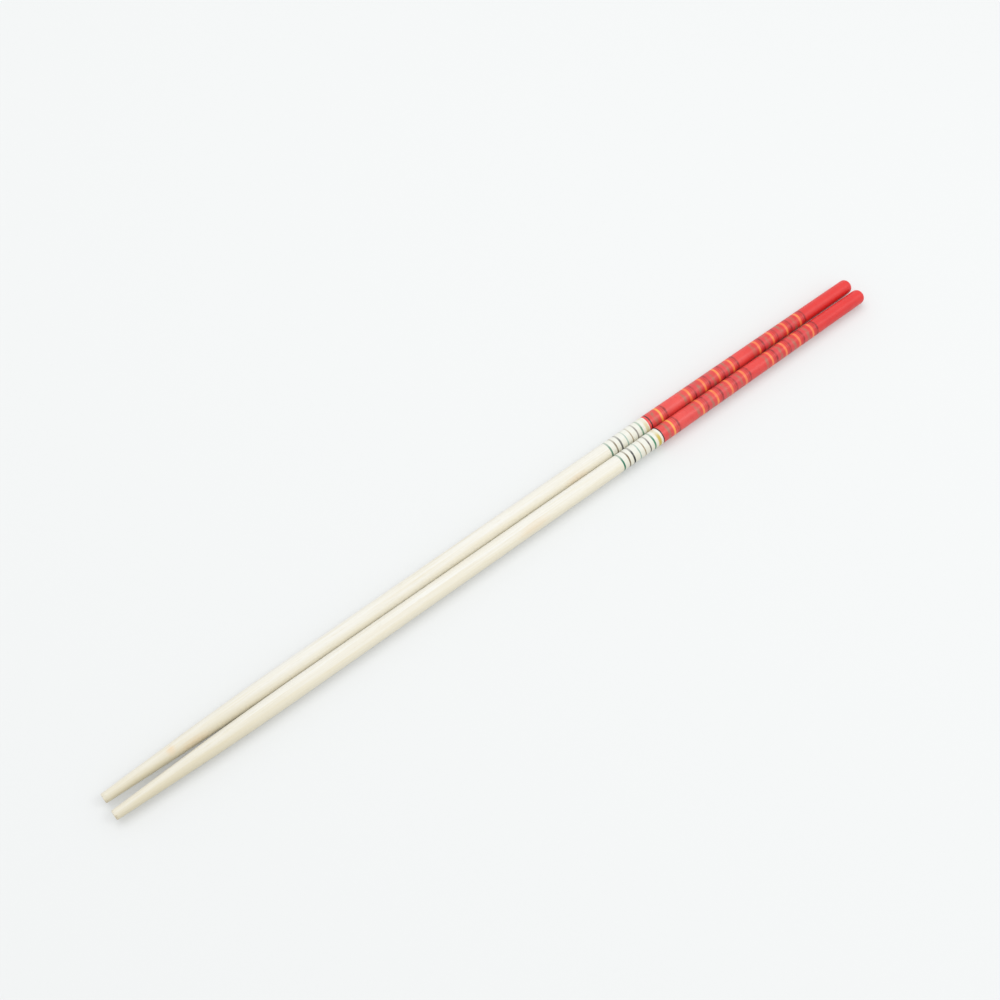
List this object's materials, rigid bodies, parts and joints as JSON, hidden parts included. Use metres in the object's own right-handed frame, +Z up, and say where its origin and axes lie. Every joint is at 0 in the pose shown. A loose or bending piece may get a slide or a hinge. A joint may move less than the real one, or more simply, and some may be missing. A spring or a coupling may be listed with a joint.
{
  "type": "pair of cooking chopsticks",
  "caption": "Pair of long round bamboo cooking chopsticks lying side by side, with tapered tips, thin coloured rings and red painted handles banded in orange, olive and dark lines.",
  "frame": {"origin": "middle of the pair's footprint, on the table that the sticks lie on", "axes": "+X along the sticks towards their handle ends, +Y across them towards the back stick, +Z up"},
  "size_m": [0.33, 0.013, 0.0065],
  "materials": {
    "painted_bamboo": "satin"
  },
  "bodies": {
    "root": {"back_chopstick": "painted_bamboo", "front_chopstick": "painted_bamboo"}
  },
  "joints": []
}
